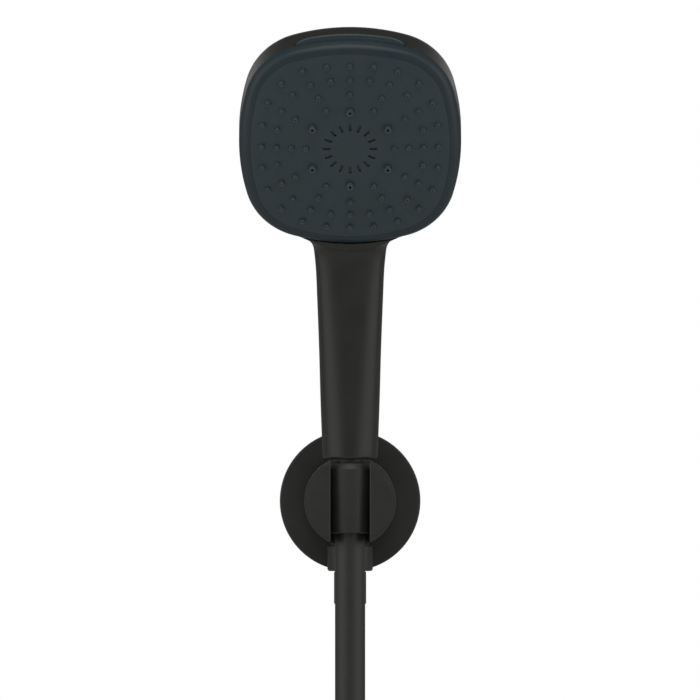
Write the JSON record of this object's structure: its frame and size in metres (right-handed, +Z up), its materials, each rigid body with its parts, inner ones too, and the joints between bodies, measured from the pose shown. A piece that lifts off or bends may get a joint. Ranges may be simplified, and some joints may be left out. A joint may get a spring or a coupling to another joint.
{
  "type": "handheld shower set",
  "caption": "Handset with a soft-square tilted spray face, seated in a round wall outlet that is also its cradle, with a smooth hose coiled below.",
  "frame": {"origin": "centre of the rosette's wall face, on the axis of the wall inlet thread", "axes": "+Z up, +Y into the wall along the inlet thread, -Y out into the room, +X to the right for a person facing the wall"},
  "size_m": [0.165, 0.1302, 0.5523],
  "materials": {
    "coated_metal": "satin black powder coat",
    "seal_rubber": "moulded",
    "brass": "turned",
    "liner_plastic": "moulded satin",
    "inner_plastic": "moulded natural white",
    "spring_steel": "drawn bright",
    "hose_sheath": "smooth satin black",
    "tie_fabric": "woven black strap",
    "shell_plastic": "satin black",
    "nozzle_silicone": "slate grey silicone",
    "face_plastic": "satin slate grey"
  },
  "bodies": {
    "root": {"rosette": "coated_metal", "rosette_o_ring": "seal_rubber", "wall_gasket": "seal_rubber", "wall_nipple": "brass", "union_body": "coated_metal", "cradle_liner": "liner_plastic", "check_valve_housing": "inner_plastic", "check_valve_spring": "spring_steel", "outlet_washer": "seal_rubber", "wall_end_stem": "brass", "wall_end_ferrule": "coated_metal", "hose_front": "hose_sheath", "hose_rear": "hose_sheath", "hose_coil": "hose_sheath", "coil_tie": "tie_fabric"},
    "wall_nut": {"wall_nut": "coated_metal"},
    "check_poppet": {"check_valve_poppet": "inner_plastic"},
    "hose_end": {"handset_end_stem": "brass", "handset_end_ferrule": "coated_metal"},
    "handset": {"cone_nut": "coated_metal", "inlet_washer": "seal_rubber", "filter_screen": "inner_plastic", "flow_limiter": "inner_plastic", "inlet_connector": "shell_plastic", "connector_o_ring": "seal_rubber", "handset_shell": "shell_plastic", "water_tube": "inner_plastic", "diverter_housing": "inner_plastic", "shaft_seal": "seal_rubber", "housing_screws": "spring_steel", "port_seal": "seal_rubber", "ratchet_leaf": "spring_steel", "channel_plate": "inner_plastic", "nozzle_mat": "nozzle_silicone", "jet_nozzles": "nozzle_silicone", "face_plate": "face_plastic", "face_ring": "face_plastic", "button_spring": "spring_steel"},
    "spray_button": {"spray_button": "face_plastic"},
    "diverter": {"diverter_disc": "inner_plastic", "ratchet_wheel": "inner_plastic"}
  },
  "joints": [
    {"name": "handset_lift", "type": "slide", "parent": "root", "child": "hose_end", "axis": [0, 0, 1], "range_m": [0, 0.055], "deforming": ["hose_front"]},
    {"name": "handset_turn", "type": "hinge", "parent": "hose_end", "child": "handset", "pos_m": [0, -0.048, 0], "axis": [0, 0, 1], "range_deg": [-60, 60]},
    {"name": "wall_nut_turn", "type": "hinge", "parent": "root", "child": "wall_nut", "pos_m": [0, -0.022, -0.028], "axis": [0, 0, 1], "continuous": true},
    {"name": "check_valve_lift", "type": "slide", "parent": "root", "child": "check_poppet", "axis": [0, 0, -1], "range_m": [0, 0.0025], "stiffness_N_per_m": 60, "springref_m": -0.004, "deforming": ["check_valve_spring"]},
    {"name": "spray_button_press", "type": "slide", "parent": "handset", "child": "spray_button", "axis": [0, 0.4226, -0.9063], "range_m": [0, 0.0025], "stiffness_N_per_m": 800, "springref_m": -0.002, "deforming": ["button_spring"]},
    {"name": "diverter_turn", "type": "hinge", "parent": "handset", "child": "diverter", "pos_m": [0, -0.089, 0.179], "axis": [0, -0.9063, -0.4226], "continuous": true}
  ]
}
